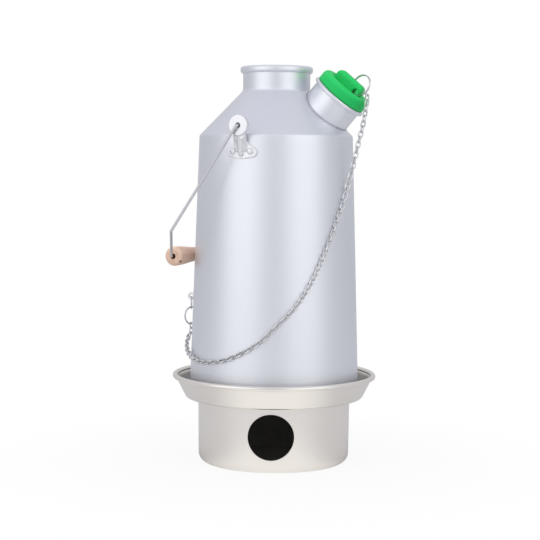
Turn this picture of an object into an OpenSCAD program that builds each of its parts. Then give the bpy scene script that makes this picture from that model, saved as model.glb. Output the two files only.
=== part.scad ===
/* [Fire base] */
// Width over the rolled rim of the tray
tray_d = 184; // [178:1:200]
// Width of the fire pan just under the ledge
pan_d = 137.4; // [130:0.2:142]
// Width of the fire pan near the floor
pan_foot_d = 136.2; // [128:0.2:140]
// Height of the ledge's underside above the floor
pan_h = 58.6; // [54:0.2:75]
// Bend radius between the pan's wall and its floor
pan_corner_r = 8; // [4:0.5:10]
// Height of the tray's rim above the ledge
tray_rise = 18.4; // [14:0.2:24]
// Bend radius between the ledge and the flared tray
ledge_bend_r = 4; // [2:0.5:5]
// Radius of the roll that stiffens the tray's rim
tray_roll_r = 2.2; // [1.5:0.1:3]
// Sheet thickness of the fire base
base_t = 1.2; // [0.8:0.1:1.6]
// Width of the fire hole
fire_hole_d = 40.5; // [30:0.5:44]
// Height of the fire hole's centre
fire_hole_z = 32.6; // [30:0.2:34]
// Turn of the fire hole from the front towards the spout
fire_hole_turn = 23; // [-180:1:180]

/* [Kettle body] */
// Width of the jacket at its foot
foot_d = 153.2; // [148:0.2:154]
// Width of the jacket at the shoulder
shoulder_d = 137.8; // [132:0.2:144]
// Height of the jacket's wall, foot to shoulder
wall_h = 234.6; // [215:0.2:260]
// Height of the shoulder cone
cone_h = 40.2; // [36:0.2:44]
// Width of the neck
neck_d = 60.3; // [56:0.1:64]
// Height of the neck up to the top of its rim
neck_h = 21.6; // [16:0.2:32]
// Bend radius at the shoulder
shoulder_bend_r = 3; // [2:0.5:6]
// Bend radius where the cone meets the neck
neck_bend_r = 5; // [3:0.5:8]
// Sheet thickness of jacket, chimney and spout
body_t = 1.2; // [0.8:0.1:1.5]
// Width of the chimney's fire side at the foot
chimney_foot_d = 139; // [130:1:144]
// Height of the rolled rim on top of the chimney
rim_h = 6; // [5:0.2:8]
// Thickness of the rolled rim
rim_w = 4.8; // [4.2:0.2:5]

/* [Spout] */
// Outer width of the spout tube
spout_d = 46.6; // [44:0.2:48]
// Rise of the spout's axis above level
spout_angle = 49.5; // [44:0.5:52]
// Turn of the spout from square to the bail's axis
spout_turn = 6; // [-8:1:8]
// Place of the spout's axis on the shoulder cone, as a share of the cone's height
spout_place = 0.55; // [0.5:0.01:0.57]
// Length of the spout's axis from the cone to its rim
spout_len = 17; // [16:0.2:24]
// Radius of the roll round the spout's rim
spout_roll_r = 1.9; // [1.6:0.1:2.4]

/* [Bail] */
// Height of the bail's pivot above the shoulder
pivot_rise = 7.8; // [5:0.2:12]
// Distance of the ear's eye from the kettle's axis
eye_y = 76; // [74.5:0.1:80]
// Width of the ear's eye
eye_d = 18; // [15:0.5:19]
// Width of the hole in the eye
eye_hole_d = 4; // [3.4:0.1:4.4]
// Width of the ear's stem
stem_w = 11.4; // [9:0.2:12.4]
// Thickness of the ear at the eye
ear_t = 4; // [3:0.2:4.6]
// Width of the ear's foot plate
ear_plate_w = 29.4; // [26:0.2:36]
// Height of the ear's foot plate
ear_plate_h = 13.2; // [11:0.2:15]
// Thickness of the foot plates of ears and lug
plate_t = 1.6; // [1.2:0.1:2]
// Distance of the foot plate's middle below the pivot
ear_drop = 22.2; // [21:0.2:24]
// Spacing of the two rivets in an ear
ear_rivet_gap = 16.6; // [15:0.2:20]
// Diameter of the bail's wire
wire_d = 2.5; // [2:0.1:2.8]
// Distance from the pivot to the grip's axis
bail_len = 141; // [125:1:160]
// Distance from the pivot to the bail's lower bend
bail_bend_at = 111.6; // [98:0.2:114]
// Bend radius of the bail's wire
wire_bend_r = 2.5; // [2:0.1:4]
// Length of the wooden grip
grip_l = 94; // [80:1:104]
// Width of the grip at its ends
grip_end_d = 17.5; // [15:0.5:20]
// Width of the grip at its waist
grip_waist_d = 12.5; // [10:0.5:15]
// Width of the hole through the grip
grip_bore_d = 4.4; // [3.4:0.1:4.4]

/* [Stopper] */
// Width of the stopper's cap
cap_d = 48.6; // [47:0.2:50]
// Thickness of the cap at its rounded edge
cap_t = 10.4; // [9.6:0.2:11.4]
// Depth of the dish in the cap
dish_depth = 2.6; // [1.5:0.1:3]
// Width of the dish in the cap
dish_d = 31; // [28:0.5:35]
// Depth of the plug below the cap
plug_l = 16; // [12:0.5:18]
// Length of the finger bar
bar_l = 28; // [26:0.5:30]
// Width of the finger bar
bar_w = 12; // [11:0.5:13]
// Height of the finger bar's top above the cap's edge
bar_rise = 8.2; // [7.4:0.2:9.4]
// Width of the cross hole under the finger bar
bar_hole_d = 6.2; // [5:0.2:6.4]

/* [Chain] */
// Diameter of the chain's wire
link_wire_d = 1.25; // [1:0.05:1.3]
// Outer length of a link
link_l = 7.4; // [7.2:0.1:7.8]
// Outer width of a link
link_w = 5; // [4.9:0.1:5.4]
// Width of the stopper's split ring, middle of its wire
split_ring_d = 19.4; // [18.4:0.2:19.6]
// Diameter of the split ring's wire
split_wire_d = 1.1; // [0.9:0.05:1.1]
// Width of the ring at the chain's lower end, middle of its wire
end_ring_d = 15.6; // [14:0.2:18]
// Diameter of the lower ring's wire
end_wire_d = 1.4; // [1.2:0.1:1.5]
// Width of the small ring in the lug, middle of its wire
lug_ring_d = 11; // [10:0.2:14]
// Diameter of the small ring's wire
lug_wire_d = 1.2; // [1:0.1:1.4]
// Distance of the lug's hole below the grip's axis
lug_drop = 38; // [36:0.2:46]
// Turn of the lug from the front, away from the spout
lug_turn = 80; // [76:1:84]
// Distance of the lug's hole from the wall
lug_reach = 5.6; // [5:0.1:7]
// Width of the hole in the lug
lug_hole_d = 3.2; // [2.8:0.1:3.4]

/* [Clearances] */
// Gap between sheets that are welded or rolled together
seam_gap = 0.05; // [0.02:0.01:0.08]
// Gap under the kettle where it stands on the ledge
seat_gap = 0.05; // [0.02:0.01:0.1]
// Room on the flat ledge around the kettle's foot
ledge_play = 0.7; // [0.4:0.1:2]
// Gap between the plug's sealing ribs and the spout
plug_gap = 0.1; // [0.05:0.01:0.2]
// Gap between the stopper's cap and the spout's rim
cap_gap = 0.1; // [0.05:0.01:0.3]
// Gap between the hanging grip and the wall
grip_gap = 0.8; // [0.4:0.1:2]
// Gap between wires that hook into each other
hook_gap = 0.14; // [0.1:0.01:0.2]
// Gap around a rivet's shank
rivet_gap = 0.05; // [0.02:0.01:0.1]

/* [Hidden] */
$fn = 96;

aluminium = [0.80, 0.80, 0.84];
base_aluminium = [0.86, 0.84, 0.80];
steel = [0.58, 0.58, 0.58];
beech = [0.80, 0.65, 0.55];
green = [0.15, 0.78, 0.38];

// Heights
ledge_z = pan_h + base_t;
foot_z = ledge_z + seat_gap;
neck_z = wall_h + cone_h;
top_z = neck_z + neck_h;

// Radii
foot_r = foot_d / 2;
shoulder_r = shoulder_d / 2;
neck_r = neck_d / 2;
throat_r = neck_r - body_t - seam_gap - body_t;
spout_r = spout_d / 2;
taper = atan((foot_r - shoulder_r) / wall_h);
flat_r = foot_r + ledge_play;
flange_bend_r = 3;
throat_bend_r = 10;
rim_round = 0.46 * rim_w;

// Number of straight steps in a bend
bend_steps = 6;

// Rivets
rivet_r = 1.6;
rivet_head_r = 3;
rivet_head_h = 1.4;
rivet_tail_r = 2.6;
rivet_tail_h = 0.9;
rivet_tail_gap = 0.12;

// Radius of the jacket's wall at a height above the foot
function wall_r(h) = foot_r - (foot_r - shoulder_r) * h / wall_h;

// The grip hangs against the wall: its distance from the axis settles after a few passes
pivot_h = wall_h + pivot_rise;
grip_stand = grip_waist_d / 2 + grip_gap;
function settle(x, passes) =
    passes == 0 ? x : settle(wall_r(pivot_h - sqrt(bail_len ^ 2 - x ^ 2)) + grip_stand, passes - 1);
grip_x = settle(foot_r, 5);
hang_angle = asin(grip_x / bail_len);

// The lug sits under the grip
lug_h = pivot_h - bail_len * cos(hang_angle) - lug_drop;

function unit(v) = v / norm(v);

// Arc that rounds corner b, [x, y, radius], between its neighbours a and c
function corner_arc(a, b, c) =
    let (
        tip = [b[0], b[1]],
        u = unit([a[0], a[1]] - tip),
        w = unit([c[0], c[1]] - tip),
        half = acos(u * w) / 2,
        centre = tip + unit(u + w) * b[2] / sin(half),
        from = tip + u * b[2] / tan(half) - centre,
        to = tip + w * b[2] / tan(half) - centre,
        start = atan2(from[1], from[0]),
        sweep = (atan2(to[1], to[0]) - start + 540) % 360 - 180
    )
    [for (i = [0 : bend_steps])
        let (a = start + sweep * i / bend_steps)
        centre + b[2] * [cos(a), sin(a)]];

// Line through corners [x, y] or [x, y, radius], the latter rounded
function bent_line(corners) = [
    for (i = [0 : len(corners) - 1])
        each len(corners[i]) == 2 ? [corners[i]] : corner_arc(corners[i - 1], corners[i], corners[i + 1])
];

// Left-hand direction at point i of a line, lengthened where the line bends
function left_at(line, i) =
    let (
        last = len(line) - 1,
        before = unit(line[max(i, 1)] - line[max(i, 1) - 1]),
        after = unit(line[min(i, last - 1) + 1] - line[min(i, last - 1)]),
        n1 = [-before[1], before[0]],
        n2 = [-after[1], after[0]]
    )
    (n1 + n2) / (1 + n1 * n2);

// Outline of a sheet of thickness t to the left of a line
function sheet(line, t) = concat(line, [for (i = [len(line) - 1 : -1 : 0]) line[i] + t * left_at(line, i)]);

// The flare leaves the ledge's bend towards the rim's roll, and ledge_r is the corner that the bend rounds
roll_at = [tray_d / 2 - tray_roll_r, ledge_z + tray_rise];
bend_to_roll = roll_at - [flat_r, pan_h + ledge_bend_r];
flare_angle = atan2(bend_to_roll[1], bend_to_roll[0]) + asin(ledge_bend_r / norm(bend_to_roll));
ledge_r = flat_r + ledge_bend_r * tan(flare_angle / 2);

// Underside of the fire base, from the middle of its floor to its rim
base_line = bent_line([
    [0, 0],
    [pan_foot_d / 2, 0, pan_corner_r],
    [pan_d / 2, pan_h, base_t],
    [ledge_r, pan_h, ledge_bend_r],
    roll_at
]);

// Outside of the jacket, from its foot to the top of its neck
jacket_line = bent_line([
    [foot_r, 0],
    [shoulder_r, wall_h, shoulder_bend_r],
    [neck_r, neck_z, neck_bend_r],
    [neck_r, top_z - rim_h - seam_gap]
]);

// Fire side of the chimney, from its foot flange to its rolled rim
chimney_line = bent_line([
    [wall_r(0) - body_t - seam_gap, 0],
    [chimney_foot_d / 2, 0, flange_bend_r],
    [throat_r, neck_z - neck_bend_r, throat_bend_r],
    [throat_r, top_z - rim_h]
]);

// Rolled rim, from the throat over the top and back to the outside of the tube
rim_line = bent_line([
    [throat_r, top_z - rim_h],
    [throat_r, top_z, rim_round],
    [throat_r + rim_w, top_z, rim_round],
    [throat_r + rim_w, top_z - rim_h, rim_round],
    [throat_r + body_t, top_z - rim_h]
]);

// Pieces of the kettle are drawn with its foot at height zero and stand on the ledge
module on_ledge() {
    translate([0, 0, foot_z]) children();
}

// Outward from the wall at a turn from the front and a height above the foot
module at_wall(turn, h) {
    rotate([0, 0, turn]) translate([0, -wall_r(h), h]) rotate([90 - taper, 0, 0]) children();
}

// Directions of the spout: outward and sideways on the level, along its axis and down its rim
spout_out = [cos(spout_turn), sin(spout_turn), 0];
spout_side = [-sin(spout_turn), cos(spout_turn), 0];
upright = [0, 0, 1];
spout_along = cos(spout_angle) * spout_out + sin(spout_angle) * upright;
spout_down = sin(spout_angle) * spout_out - cos(spout_angle) * upright;

// Along the spout's axis, from the middle of its rim
spout_root_r = shoulder_r + spout_place * (neck_r - shoulder_r);
spout_root = spout_root_r * spout_out + (wall_h + spout_place * cone_h) * upright;
spout_rim = spout_root + spout_len * spout_along;
module at_spout() {
    translate(spout_rim) rotate([0, 90 - spout_angle, spout_turn]) children();
}

// Flat wire bent through a list of points in one plane: its straight lengths dip into its bends,
// which are thicker by a hair
bend_dip = 0.3;
bend_swell = 0.03;
module flat_wire(points, bend_r, d) {
    last = len(points) - 1;
    heading = [for (i = [0 : last - 1]) let (v = points[i + 1] - points[i]) atan2(v[1], v[0])];
    turn = [for (i = [0 : last]) i == 0 || i == last ? 0 : (heading[i] - heading[i - 1] + 540) % 360 - 180];
    trim = [for (a = turn) bend_r * tan(abs(a) / 2)];
    cut = [for (i = [0 : last]) i == 0 || i == last ? 0 : trim[i] - bend_dip];
    for (i = [0 : last - 1])
        translate([each points[i], 0])
            rotate([0, 0, heading[i]])
                translate([cut[i], 0, 0])
                    rotate([0, 90, 0])
                        cylinder(d = d, h = norm(points[i + 1] - points[i]) - cut[i] - cut[i + 1]);
    for (i = [1 : last - 1])
        translate([each points[i], 0])
            rotate([0, 0, heading[i - 1]])
                translate([-trim[i], sign(turn[i]) * bend_r, 0])
                    rotate([0, 0, turn[i] > 0 ? -90 : 90 + turn[i]])
                        rotate_extrude(angle = abs(turn[i]))
                            translate([bend_r, 0]) circle(d = d + 2 * bend_swell);
}

// Ring of round wire around the z axis
module wire_ring(ring_d, d) {
    rotate_extrude() translate([ring_d / 2, 0]) circle(d = d);
}

// Rivet through a foot plate and the jacket, with its outer face on the wall at height zero
rivet_seat = plate_t + seam_gap;
module rivet() {
    dome_r = (rivet_head_r ^ 2 + rivet_head_h ^ 2) / (2 * rivet_head_h);
    dome_a = asin(rivet_head_r / dome_r);
    dome = [for (i = [0 : bend_steps]) let (a = dome_a * (1 - i / bend_steps))
        [dome_r * sin(a), rivet_seat + rivet_head_h - dome_r * (1 - cos(a))]];
    tail_z = -body_t - rivet_tail_gap;
    rotate_extrude()
        polygon(concat(
            [[0, tail_z - rivet_tail_h], [rivet_tail_r, tail_z - rivet_tail_h], [rivet_tail_r, tail_z]],
            [[rivet_r, tail_z], [rivet_r, rivet_seat]],
            dome
        ));
}

module rivet_hole() {
    translate([0, 0, -2 * body_t]) cylinder(r = rivet_r + rivet_gap, h = 2 * body_t + 3 * plate_t);
}

// Places of the two rivets of an ear and of the lug
ear_plate_h0 = pivot_h - ear_drop;
ear_rivet_turn = asin(ear_rivet_gap / 2 / wall_r(ear_plate_h0));
lug_rivet_rise = 7;
lug_rivet_gap = 9;
lug_rivet_h = [lug_h + lug_rivet_rise, lug_h + lug_rivet_rise + lug_rivet_gap];
module at_ear_rivets() {
    for (side = [-1, 1])
        at_wall(side * ear_rivet_turn, ear_plate_h0) children();
}

module at_lug_rivets() {
    for (h = lug_rivet_h)
        at_wall(-lug_turn, h) children();
}

// Strip of the wall's own curve, between two heights, from the wall out to thickness t
module wall_strip(h0, h1, t) {
    rotate_extrude()
        polygon([
            [wall_r(h0) + seam_gap, h0],
            [wall_r(h0) + t, h0],
            [wall_r(h1) + t, h1],
            [wall_r(h1) + seam_gap, h1]
        ]);
}

// Outline with round ends along x
module stadium(length, width) {
    square([length - width, width], center = true);
    for (side = [-1, 1])
        translate([side * (length - width) / 2, 0]) circle(d = width);
}

module fire_base() {
    color(base_aluminium)
        difference() {
            rotate_extrude() {
                polygon(sheet(base_line, base_t));
                translate(roll_at) circle(tray_roll_r);
            }
            rotate([0, 0, fire_hole_turn])
                translate([0, 0, fire_hole_z])
                    rotate([90, 0, 0])
                        cylinder(d = fire_hole_d, h = pan_d);
        }
}

module jacket() {
    color(aluminium) on_ledge()
        difference() {
            rotate_extrude() polygon(sheet(jacket_line, body_t));
            at_spout() translate([0, 0, -3 * spout_len]) cylinder(r = spout_r - body_t, h = 3 * spout_len);
            at_ear_rivets() rivet_hole();
            rotate([0, 0, 180]) at_ear_rivets() rivet_hole();
            at_lug_rivets() rivet_hole();
        }
}

// The rim is rolled outwards, so the chimney's mouth is a plain round hole
module chimney() {
    last = len(chimney_line) - 1;
    water_side = [for (i = [last : -1 : 0]) chimney_line[i] - body_t * left_at(chimney_line, i)];
    rim = [for (i = [1 : len(rim_line) - 2]) rim_line[i]];
    color(aluminium) on_ledge()
        rotate_extrude() polygon(concat(chimney_line, rim, water_side));
}

// Everything inside the jacket's outer skin, with a weld gap
module jacket_bulk() {
    skin = [for (i = [0 : len(jacket_line) - 1]) jacket_line[i] - seam_gap * left_at(jacket_line, i)];
    rotate_extrude() polygon(concat([[0, 0]], skin, [[0, top_z]]));
}

module spout() {
    color(aluminium) on_ledge()
        difference() {
            at_spout() {
                rotate_extrude() {
                    translate([spout_r - body_t, -2 * spout_len]) square([body_t, 2 * spout_len]);
                    translate([spout_r - body_t + spout_roll_r, 0]) circle(spout_roll_r);
                }
            }
            jacket_bulk();
        }
}

// Ear at the front: a shield-shaped plate, a ribbed stem that leans out over the shoulder, a round eye
ear_shoulder = 7;
ear_fillet_r = 3;
ear_end_rise = 1.5;
ear_end_r = 3.4;
ear_end_tuck = 1.1;
ear_belly = 2.2;
ear_belly_r = 30;
ear_half = [
    [stem_w / 2, ear_shoulder, ear_fillet_r],
    [ear_plate_w / 2, ear_end_rise, ear_end_r],
    [ear_plate_w / 2 - ear_end_tuck, ear_belly - ear_plate_h / 2, ear_end_r]
];
ear_outline = bent_line(concat(
    [[stem_w / 2, ear_plate_h]],
    ear_half,
    [[0, -ear_plate_h / 2, ear_belly_r]],
    [for (i = [2 : -1 : 0]) [-ear_half[i][0], ear_half[i][1], ear_half[i][2]]],
    [[-stem_w / 2, ear_plate_h]]
));
stem_t = 2.4;
stem_foot_w = ear_rivet_gap - 2 * rivet_head_r - 1;
stem_foot_t = 1.2;
stem_sink = 0.4;
stem_rise = 2;
rib_d = 4.4;
rib_proud = 1.2;
stem_top = 0.36 * eye_d;
module ear() {
    stem_y = -wall_r(ear_plate_h0) - plate_t;
    plate_top = ear_plate_h0 + ear_plate_h / 2;
    color(aluminium) on_ledge()
        difference() {
            union() {
                intersection() {
                    wall_strip(ear_plate_h0 - ear_plate_h, plate_top + stem_rise, plate_t);
                    translate([0, 0, ear_plate_h0])
                        rotate([90, 0, 0])
                            linear_extrude(2 * foot_r) polygon(ear_outline);
                }
                hull() {
                    translate([-stem_foot_w / 2, stem_y + stem_sink - stem_foot_t, ear_plate_h0])
                        cube([stem_foot_w, stem_foot_t, stem_rise]);
                    translate([-stem_w / 2, stem_y - stem_t, plate_top]) cube([stem_w, stem_t, stem_rise]);
                }
                hull() {
                    translate([-stem_w / 2, stem_y - stem_t, plate_top]) cube([stem_w, stem_t, stem_rise]);
                    translate([0, -eye_y + ear_t / 2, pivot_h - stem_top])
                        rotate([90, 0, 0]) cylinder(d = stem_w, h = ear_t / 2, $fn = 32);
                }
                hull() {
                    translate([0, stem_y - stem_foot_t, ear_plate_h0 - rib_d / 2])
                        sphere(d = rib_d, $fn = 32);
                    translate([0, rib_d / 2 - rib_proud - eye_y, pivot_h - stem_top])
                        sphere(d = rib_d, $fn = 32);
                }
                translate([0, -eye_y + ear_t / 2, pivot_h])
                    rotate([90, 0, 0]) cylinder(d = eye_d, h = ear_t);
            }
            translate([0, 0, pivot_h]) rotate([90, 0, 0]) cylinder(d = eye_hole_d, h = 2 * eye_y);
            at_ear_rivets() rivet_hole();
        }
}

module ear_front() {
    ear();
}

module ear_rear() {
    rotate([0, 0, 180]) ear();
}

module ear_front_rivets() {
    color(aluminium) on_ledge() at_ear_rivets() rivet();
}

module ear_rear_rivets() {
    rotate([0, 0, 180]) ear_front_rivets();
}

// In the bail's own plane, x runs along the pivot's axis and y from the pivot to the grip
leg_x = eye_y + ear_t / 2 + wire_bend_r;
grip_lead = grip_l / 2 + wire_bend_r;
pin_head_d = eye_hole_d + 1;
pin_head_t = 1.4;
pin_head_gap = 1;
pin_x = eye_y - ear_t / 2 - pin_head_gap - pin_head_t;
module in_bail_plane() {
    translate([0, 0, foot_z + pivot_h])
        rotate([0, hang_angle, 0])
            rotate([-90, 0, 90])
                children();
}

module bail() {
    color(steel) in_bail_plane() {
        flat_wire([
            [-pin_x, 0], [-leg_x, 0], [-leg_x, bail_bend_at], [-grip_lead, bail_len],
            [grip_lead, bail_len], [leg_x, bail_bend_at], [leg_x, 0], [pin_x, 0]
        ], wire_bend_r, wire_d);
        for (side = [-1, 1])
            translate([side * (pin_x + pin_head_t / 2), 0, 0])
                rotate([0, 90, 0]) cylinder(d = pin_head_d, h = pin_head_t, center = true);
    }
}

// Half outline of the grip: a waist in the middle, fuller towards its rounded ends
grip_steps = 14;
grip_round = 3;
function grip_r(t) = (grip_waist_d + (grip_end_d - grip_waist_d) * sin(90 * t) ^ 2) / 2;
grip_side = [for (i = [-grip_steps : grip_steps])
    let (t = i / grip_steps) [grip_r(abs(t)), t * (grip_l / 2 - grip_round)]];
grip_end = [for (i = [1 : bend_steps])
    let (a = 90 * i / bend_steps)
    [grip_end_d / 2 - grip_round * (1 - cos(a)), grip_l / 2 - grip_round * (1 - sin(a))]];
module grip() {
    outline = concat(
        [[grip_bore_d / 2, -grip_l / 2]],
        [for (i = [len(grip_end) - 1 : -1 : 0]) [grip_end[i][0], -grip_end[i][1]]],
        grip_side,
        grip_end,
        [[grip_bore_d / 2, grip_l / 2]]
    );
    color(beech) in_bail_plane()
        translate([0, bail_len, 0])
            rotate([0, 90, 0])
                rotate_extrude() polygon(outline);
}

// Stopper, in the spout's own frame: the cap's underside just above the rim's roll
cap_z = spout_roll_r + cap_gap;
cap_top = cap_z + cap_t;
cap_round = 4.4;
cap_edge_r = 0.8;
dish_edge_r = 1.2;
plug_ease = 0.5;
plug_r = spout_r - body_t - plug_ease;
rib_r = spout_r - body_t - plug_gap;
rib_half = 1.2;
plug_lead = 1.6;
function rib_at(z) = [
    [plug_r, z - rib_half],
    [rib_r, z - rib_half / 3],
    [rib_r, z + rib_half / 3],
    [plug_r, z + rib_half]
];
stopper_outline = concat(
    [[0, cap_z - plug_l], [plug_r - plug_lead, cap_z - plug_l], [plug_r, cap_z - plug_l + 2 * plug_lead]],
    rib_at(cap_z - plug_l * 2 / 3),
    rib_at(cap_z - plug_l / 3),
    bent_line([
        [plug_r, cap_z],
        [cap_d / 2, cap_z, cap_edge_r],
        [cap_d / 2, cap_top, cap_round],
        [dish_d / 2 + dish_edge_r, cap_top, dish_edge_r],
        [dish_d / 2 - dish_edge_r, cap_top - dish_depth, dish_edge_r],
        [0, cap_top - dish_depth]
    ])
);

// Finger bar: its long side lies in the spout's own upright plane, with a cross hole at its lower end
bar_top = cap_top + bar_rise;
hole_wall = 0.8;
hole_x = bar_l / 2 - bar_hole_d / 2 - hole_wall;
bar_sink = 1;
bar_foot = cap_top - dish_depth - bar_sink;
bar_round = 4;
bar_side = bent_line([
    [-bar_l / 2, bar_foot],
    [-bar_l / 2, bar_top, bar_round],
    [bar_l / 2, bar_top, bar_round],
    [bar_l / 2, bar_foot]
]);
bar_end = bent_line([
    [-bar_w / 2, bar_foot],
    [-bar_w / 2, bar_top, bar_round],
    [bar_w / 2, bar_top, bar_round],
    [bar_w / 2, bar_foot]
]);

// The split ring passes through the bar from its top to its outer end
ring_x = 0.34 * bar_l;
ring_y = -0.2 * bar_w;
ring_z = bar_top;
ring_lean = 30;
ring_slack = 0.35;
coil_step = 0.92 * split_wire_d;
slot_w = split_wire_d + 2 * ring_slack;
module at_split_ring() {
    at_spout() translate([ring_x, ring_y, ring_z]) rotate([0, 0, -ring_lean]) rotate([90, 0, 0]) children();
}

module stopper() {
    color(green) on_ledge()
        difference() {
            at_spout() {
                rotate_extrude() polygon(stopper_outline);
                intersection() {
                    rotate([90, 0, 0]) linear_extrude(bar_w, center = true) polygon(bar_side);
                    rotate([90, 0, 90]) linear_extrude(bar_l, center = true) polygon(bar_end);
                }
            }
            at_spout()
                translate([hole_x, 0, bar_foot + bar_sink + bar_hole_d / 2])
                    rotate([90, 0, 0]) cylinder(d = bar_hole_d, h = bar_w + 2, center = true);
            at_split_ring()
                rotate_extrude()
                    translate([split_ring_d / 2, 0])
                        square([slot_w, slot_w + coil_step], center = true);
        }
}

// Split ring: two turns of wire side by side
module split_ring() {
    color(steel) on_ledge() at_split_ring()
        rotate_extrude()
            for (side = [-1, 1])
                translate([split_ring_d / 2, side * coil_step / 2]) circle(d = split_wire_d);
}

// Rings at the lower end: the small one hangs in the lug, the larger one hangs in it
lug_ring_h = lug_h - lug_hole_d / 2 + lug_wire_d / 2 + hook_gap - lug_ring_d / 2;
end_ring_h = lug_ring_h - lug_ring_d / 2 + (lug_wire_d + end_wire_d) / 2 + hook_gap - end_ring_d / 2;
end_ring_lean = 30;
lug_ring_lean = 20;
module at_lug(h) {
    rotate([0, 0, -lug_turn]) translate([0, -wall_r(lug_h) - lug_reach, h]) children();
}

module lug_ring() {
    color(steel) on_ledge() at_lug(lug_ring_h)
        rotate([0, 0, lug_ring_lean]) rotate([90, 0, 0]) wire_ring(lug_ring_d, lug_wire_d);
}

module end_ring() {
    color(steel) on_ledge() at_lug(end_ring_h)
        rotate([0, 0, -end_ring_lean]) rotate([90, 0, 0]) wire_ring(end_ring_d, end_wire_d);
}

// Lug: a plate on the wall with a tab that stands out and carries the hole
lug_w = 10;
lug_plate_h = 26;
lug_plate_mid = lug_h + lug_rivet_rise + 1;
lug_tab_t = 2;
lug_tab_d = 7;
module lug() {
    color(aluminium) on_ledge()
        difference() {
            union() {
                intersection() {
                    wall_strip(lug_plate_mid - lug_plate_h, lug_plate_mid + lug_plate_h, plate_t);
                    rotate([0, 0, -lug_turn])
                        translate([0, 0, lug_plate_mid])
                            rotate([90, 0, 0])
                                linear_extrude(2 * foot_r) rotate([0, 0, 90]) stadium(lug_plate_h, lug_w);
                }
                at_lug(lug_h)
                    rotate([0, 90, 0]) cylinder(d = lug_tab_d, h = lug_tab_t, center = true);
                at_lug(lug_h)
                    translate([-lug_tab_t / 2, 0, -lug_tab_d / 2])
                        cube([lug_tab_t, lug_reach - plate_t / 2, lug_tab_d]);
            }
            at_lug(lug_h) rotate([0, 90, 0]) cylinder(d = lug_hole_d, h = lug_w, center = true);
            at_lug_rivets() rivet_hole();
        }
}

module lug_rivets() {
    color(aluminium) on_ledge() at_lug_rivets() rivet();
}

// Route of the chain: turn from the front, distance off the wall, and height as a share of the way
// from its lower end to its upper end
chain_points = [
    [88, 18.5, 0.913], [88, 16, 0.860], [87.5, 12.5, 0.799], [87, 9, 0.733], [86, 5.6, 0.666],
    [83.5, 3, 0.604], [79, 2.3, 0.542], [71, 2.3, 0.456], [62.5, 2.3, 0.361], [54, 2.3, 0.261],
    [45, 2.3, 0.171], [36, 2.3, 0.100], [26, 2.3, 0.039], [15.5, 2.3, -0.024], [4, 2.3, -0.071],
    [-8, 2.3, -0.104], [-20, 2.3, -0.121], [-32, 2.3, -0.126], [-44, 2.6, -0.119], [-56, 3.4, -0.102],
    [-67, 4.6, -0.078], [-75, 5.2, -0.056]
];

// The chain's upper end hooks the split ring below its outermost point and leaves square to its wire
hook_angle = 12;
hook_lead = 6;
ring_out = cos(ring_lean) * spout_down - sin(ring_lean) * spout_side;
ring_centre = spout_rim + ring_x * spout_down + ring_y * spout_side + ring_z * spout_along;
hook_way = cos(hook_angle) * ring_out - sin(hook_angle) * spout_along;
hook_wire = sin(hook_angle) * ring_out + cos(hook_angle) * spout_along;
hook_start = ring_centre + split_ring_d / 2 * hook_way;

// The lower end hooks the bottom of the end ring
function around(turn, r, h) = [r * sin(turn), -r * cos(turn), h];
hook_end = around(-lug_turn, wall_r(lug_h) + lug_reach, end_ring_h - end_ring_d / 2);
chain_knots = concat(
    [hook_start, hook_start + hook_lead * hook_way],
    [for (p = chain_points)
        let (h = hook_end[2] + p[2] * (hook_start[2] - hook_end[2]))
        around(p[0], wall_r(h) + p[1], h)],
    [hook_end - [0, 0, hook_lead], hook_end]
);

// Smooth curve through the knots, and its length at each step
knot_steps = 8;
last_knot = len(chain_knots) - 1;
function smooth(a, b, c, d, t) =
    0.5 * (2 * b + (c - a) * t + (2 * a - 5 * b + 4 * c - d) * t ^ 2 + (3 * b - a - 3 * c + d) * t ^ 3);
chain_curve = [
    for (i = [0 : last_knot - 1])
        for (j = [0 : knot_steps - (i == last_knot - 1 ? 0 : 1)])
            smooth(
                chain_knots[max(i - 1, 0)], chain_knots[i], chain_knots[i + 1],
                chain_knots[min(i + 2, last_knot)], j / knot_steps
            )
];
function lengths(line, i = 1, sum = [0]) =
    i == len(line) ? sum : lengths(line, i + 1, concat(sum, [sum[i - 1] + norm(line[i] - line[i - 1])]));
chain_at = lengths(chain_curve);
chain_l = chain_at[len(chain_at) - 1];
chain_axis = [for (k = [0 : 2]) [for (i = [0 : len(chain_curve) - 1]) [chain_at[i], chain_curve[i][k]]]];
function on_chain(s) = [for (k = [0 : 2]) lookup(s, chain_axis[k])];

// Links: as many as fill the route at about their own inner length
link_inner = link_l - 2 * link_wire_d;
link_reach = link_l / 2 - link_wire_d / 2;
coil_room = 0.2;
lead_start = link_reach - (link_wire_d + split_wire_d) / 2 - hook_gap - coil_room;
lead_end = link_reach - (link_wire_d + end_wire_d) / 2 - hook_gap;
link_count = round((chain_l - lead_start - lead_end) / (link_inner - 0.22)) + 1;
link_pitch = (chain_l - lead_start - lead_end) / (link_count - 1);

// Turn of a link about the chain: square to the rings at the ends, at half a right angle between
twist_links = 10;
function level(v) = [v[0], v[1], 0];
function square_to(v, way) = unit(v - (v * way) * way);
hook_lift = square_to(level(hook_start), hook_way);
start_roll = atan2(-hook_wire * hook_lift, hook_wire * cross(hook_way, hook_lift));
start_twist = (start_roll + 360) % 180 - 90;
end_twist = (link_count % 2 == 0 ? 0 : 90) - end_ring_lean;
function ease(t) = let (u = max(0, min(1, t))) u * u * (3 - 2 * u);
function link_roll(i) = 90 + 90 * i + start_twist
    + (45 - start_twist) * ease(i / twist_links)
    + (end_twist - 45) * ease((i - (link_count - 1 - twist_links)) / twist_links);

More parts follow.
